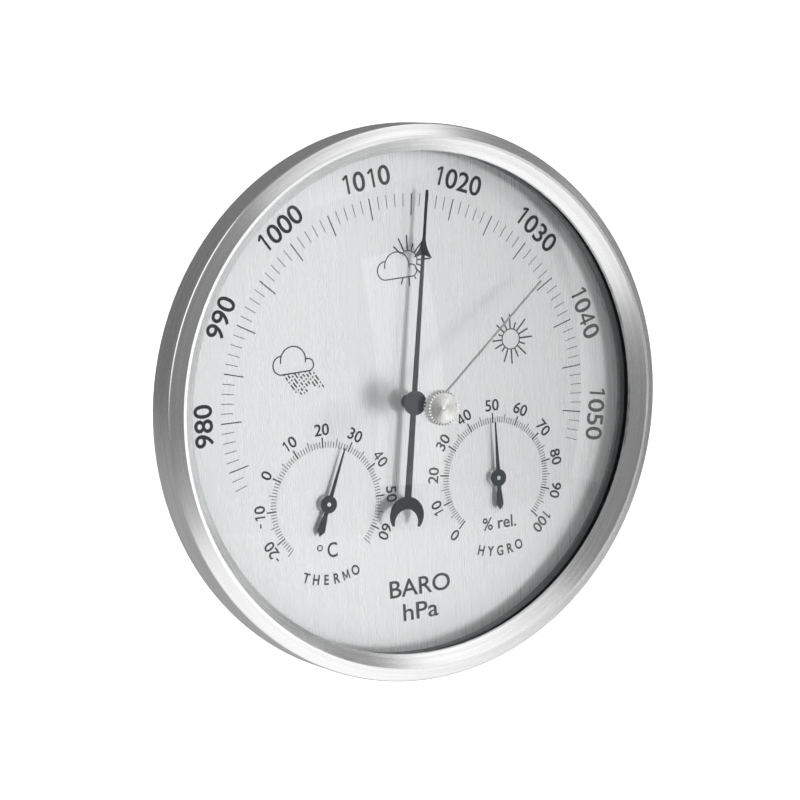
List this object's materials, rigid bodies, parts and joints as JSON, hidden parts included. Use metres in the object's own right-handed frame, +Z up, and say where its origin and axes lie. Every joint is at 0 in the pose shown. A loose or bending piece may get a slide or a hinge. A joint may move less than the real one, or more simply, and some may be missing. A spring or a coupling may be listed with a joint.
{
  "type": "aneroid barometer",
  "caption": "Round wall barometer with a thermometer and a hygrometer dial, in a turned steel bezel with a domed lens and a knob-set reference hand.",
  "frame": {"origin": "centre of the rear face that bears on the wall", "axes": "+Y into the wall, the dial looks along -Y, +Z up"},
  "size_m": [0.132, 0.0432, 0.132],
  "materials": {
    "stainless": "satin stainless steel, fine turned grain",
    "case_plastic": "black moulded plastic, fine grain",
    "silver_dial": "silvered aluminium, vertical brushed grain, printed scales",
    "black_plastic": "satin black",
    "gasket_rubber": "matt black rubber",
    "lens_glass": "clear polished",
    "steel": "turned bright",
    "spring_steel": "blued spring temper",
    "screw_steel": "zinc plated",
    "knob_metal": "turned and knurled, bright",
    "set_hand_metal": "polished wire",
    "pointer_paint": "slate grey satin paint",
    "small_pointer_paint": "dark slate satin paint",
    "brass_plate": "stamped, lightly brushed",
    "brass_turned": "turned bright",
    "capsule_metal": "nickel silver, rippled",
    "gauge_cup": "drawn thin sheet",
    "collar_metal": "bright turned",
    "bimetal": "rolled strip",
    "hygro_strip": "coated metal strip"
  },
  "bodies": {
    "case": {"bezel": "stainless", "case_shell": "case_plastic", "dial_plate": "silver_dial", "spacer_ring": "black_plastic", "lens_gasket": "gasket_rubber", "lens": "lens_glass", "lens_bush": "steel", "friction_washer": "spring_steel", "base_plate": "brass_plate", "rear_gear_plate": "brass_plate", "front_gear_plate": "brass_plate", "base_pillars": "brass_turned", "gear_pillars": "brass_turned", "base_screws": "screw_steel", "pillar_screws": "screw_steel", "gear_plate_screws": "screw_steel", "hairspring": "spring_steel", "hairspring_stud": "brass_turned", "shaft_bearings": "brass_plate", "post_locknut": "screw_steel", "thermo_cup": "gauge_cup", "thermo_collar": "collar_metal", "thermo_coil": "bimetal", "thermo_coil_stud": "brass_turned", "hygro_cup": "gauge_cup", "hygro_collar": "collar_metal", "hygro_coil": "hygro_strip", "hygro_coil_stud": "brass_turned"},
    "capsule": {"capsule_rear": "capsule_metal", "capsule_front": "capsule_metal", "capsule_post": "steel"},
    "button": {"capsule_button": "steel"},
    "rocker": {"rocking_shaft": "steel", "capsule_arm": "brass_turned", "sector_arm": "steel"},
    "sector": {"sector_gear": "brass_plate", "sector_arbor": "steel"},
    "pointer": {"pinion_arbor": "steel", "hairspring_collet": "brass_turned", "main_pointer": "pointer_paint", "pointer_cap": "pointer_paint"},
    "set_hand": {"set_knob": "knob_metal", "set_stem": "steel", "set_hand": "set_hand_metal"},
    "thermo_pointer": {"thermo_arbor": "steel", "thermo_pointer": "small_pointer_paint"},
    "hygro_pointer": {"hygro_arbor": "steel", "hygro_pointer": "small_pointer_paint"}
  },
  "joints": [
    {"name": "sector_turn", "type": "hinge", "parent": "case", "child": "sector", "pos_m": [-0.0216, -0.0202, 0], "axis": [0, 1, 0], "range_deg": [-12.49, 14.51], "stiffness_Nm_per_rad": 0.2},
    {"name": "pointer_turn", "type": "hinge", "parent": "case", "child": "pointer", "pos_m": [0, -0.029, 0], "axis": [0, 1, 0], "range_deg": [-116.2, 100]},
    {"name": "rocker_turn", "type": "hinge", "parent": "case", "child": "rocker", "pos_m": [-0.0216, -0.0126, 0], "axis": [-1, 0, 0], "range_deg": [-12.6, 14.6]},
    {"name": "calibration_turn", "type": "hinge", "parent": "case", "child": "capsule", "pos_m": [-0.0216, -0.0065, -0.003], "axis": [0, 1, 0], "range_deg": [-180, 180]},
    {"name": "capsule_breathe", "type": "slide", "parent": "capsule", "child": "button", "axis": [0, -1, 0], "range_m": [-0.00064, 0.00074]},
    {"name": "set_hand_turn", "type": "hinge", "parent": "case", "child": "set_hand", "pos_m": [0, -0.0405, 0], "axis": [0, 1, 0], "continuous": true},
    {"name": "thermo_turn", "type": "hinge", "parent": "case", "child": "thermo_pointer", "pos_m": [-0.0234, -0.027, -0.0214], "axis": [0, 1, 0], "range_deg": [-157.5, 112.5], "stiffness_Nm_per_rad": 0.00005},
    {"name": "hygro_turn", "type": "hinge", "parent": "case", "child": "hygro_pointer", "pos_m": [0.0234, -0.027, -0.0214], "axis": [0, 1, 0], "range_deg": [-135, 135], "stiffness_Nm_per_rad": 0.00005}
  ],
  "couplings": [
    {"joint": "pointer_turn", "follows": "sector_turn", "ratio": -8},
    {"joint": "rocker_turn", "follows": "sector_turn", "ratio": 1},
    {"joint": "capsule_breathe", "follows": "sector_turn", "m_per_rad": 0.0029}
  ]
}
